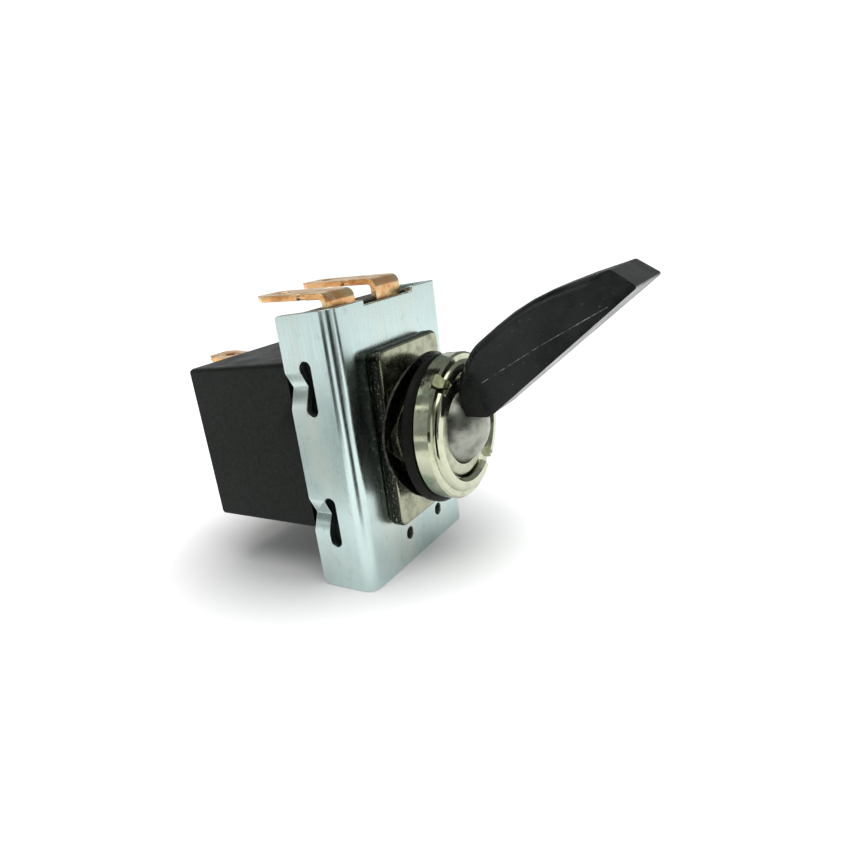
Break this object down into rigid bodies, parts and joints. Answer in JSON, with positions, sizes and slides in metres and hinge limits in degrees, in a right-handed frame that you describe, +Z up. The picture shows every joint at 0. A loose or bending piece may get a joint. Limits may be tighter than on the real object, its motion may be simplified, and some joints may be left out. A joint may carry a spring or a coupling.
{
  "type": "panel toggle switch",
  "caption": "Panel toggle switch with a flared black blade lever, a steel bracket round a moulded case, a threaded bushing with a round nut, and push-on blade terminals.",
  "frame": {"origin": "on the bushing's axis, at the front face of the bracket's plate", "axes": "+X to the right seen from the front, +Y to the rear along the bushing's axis, +Z up"},
  "size_m": [0.028, 0.0718, 0.0424],
  "materials": {
    "bracket_steel": "bright zinc plate",
    "nickel": "bright nickel plate",
    "polished_steel": "polished",
    "spring_steel": "plain",
    "black_metal": "black oxide",
    "phenolic": "moulded, worn satin",
    "lever_plastic": "moulded, polished by use",
    "rocker_plastic": "moulded",
    "fibre": "black pressed fibre sheet",
    "copper": "rolled copper strip",
    "contact_silver": "polished"
  },
  "bodies": {
    "base": {"mounting_bracket": "bracket_steel", "case": "phenolic", "front_insulator": "fibre", "bushing": "nickel", "spacer_plate": "nickel", "wave_washer": "spring_steel", "backing_ring": "black_metal", "bezel_nut": "nickel", "pivot_pin": "polished_steel", "upper_fixed_contact": "contact_silver", "lower_fixed_contact": "contact_silver", "terminal_left": "copper", "terminal_right": "copper", "terminal_rear": "copper"},
    "lever": {"lever_stem": "polished_steel", "lever_ball": "polished_steel", "lever_blade": "lever_plastic", "plunger_spring": "spring_steel"},
    "plunger": {"plunger": "polished_steel"},
    "rocker": {"rocker": "rocker_plastic", "contact_bridge": "copper", "upper_moving_contact": "contact_silver", "lower_moving_contact": "contact_silver"}
  },
  "joints": [
    {"name": "lever_tilt", "type": "hinge", "parent": "base", "child": "lever", "pos_m": [0, -0.0065, 0], "axis": [1, 0, 0], "range_deg": [0, 50]},
    {"name": "plunger_slide", "type": "slide", "parent": "lever", "child": "plunger", "axis": [0, -0.9063, 0.4226], "range_m": [0, 0.0002], "stiffness_N_per_m": 300},
    {"name": "rocker_tilt", "type": "hinge", "parent": "base", "child": "rocker", "pos_m": [0, 0.0195, 0], "axis": [1, 0, 0], "range_deg": [-16, 0]}
  ],
  "couplings": [
    {"joint": "rocker_tilt", "follows": "lever_tilt", "ratio": -0.32}
  ]
}
